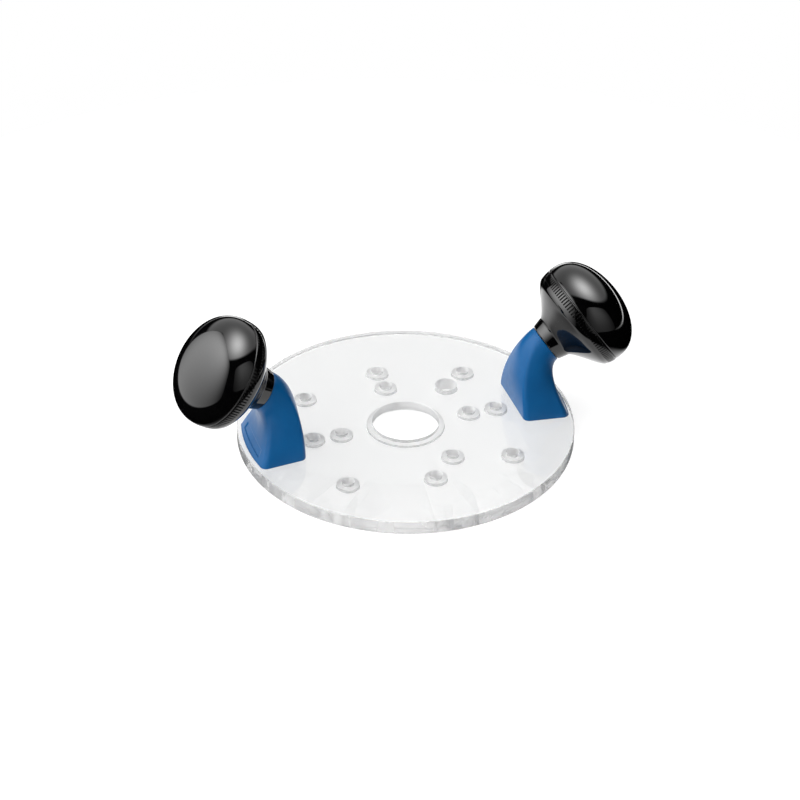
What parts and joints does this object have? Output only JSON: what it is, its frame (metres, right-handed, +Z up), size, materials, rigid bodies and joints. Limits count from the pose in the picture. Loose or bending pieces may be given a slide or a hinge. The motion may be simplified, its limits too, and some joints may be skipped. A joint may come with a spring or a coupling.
{
  "type": "router sub base",
  "caption": "Round clear plate with angled ribbed knobs on risers at its rim, fastened under a router to give it a wide base with handles.",
  "frame": {"origin": "centre of the plate's underside", "axes": "+X through the right handle, +Y away from the viewer, +Z up from the plate towards the router"},
  "size_m": [0.21, 0.1524, 0.0717],
  "materials": {
    "clear_acrylic": "clear cast acrylic, polished faces, sawn and eased edge",
    "blue_plastic": "moulded, satin with a fine grain",
    "black_plastic": "moulded, high gloss",
    "brass": "turned, knurled outside",
    "zinc_steel": "zinc plated"
  },
  "bodies": {
    "root": {"base_plate": "clear_acrylic", "left_riser": "blue_plastic", "left_front_screw": "zinc_steel", "left_front_screw_insert": "brass", "left_rear_screw": "zinc_steel", "left_rear_screw_insert": "brass", "left_stud_insert": "brass", "left_stud": "zinc_steel", "right_riser": "blue_plastic", "right_front_screw": "zinc_steel", "right_front_screw_insert": "brass", "right_rear_screw": "zinc_steel", "right_rear_screw_insert": "brass", "right_stud_insert": "brass", "right_stud": "zinc_steel"},
    "left_knob": {"left_knob_body": "black_plastic", "left_knob_cap": "black_plastic", "left_knob_insert": "brass"},
    "right_knob": {"right_knob_body": "black_plastic", "right_knob_cap": "black_plastic", "right_knob_insert": "brass"}
  },
  "joints": [
    {"name": "left_knob_turn", "type": "hinge", "parent": "root", "child": "left_knob", "pos_m": [-0.0661, 0, 0.03575], "axis": [-0.8202, 0, 0.5721], "range_deg": [0, 360]},
    {"name": "right_knob_turn", "type": "hinge", "parent": "root", "child": "right_knob", "pos_m": [0.0661, 0, 0.03575], "axis": [0.8202, 0, 0.5721], "range_deg": [0, 360]}
  ]
}
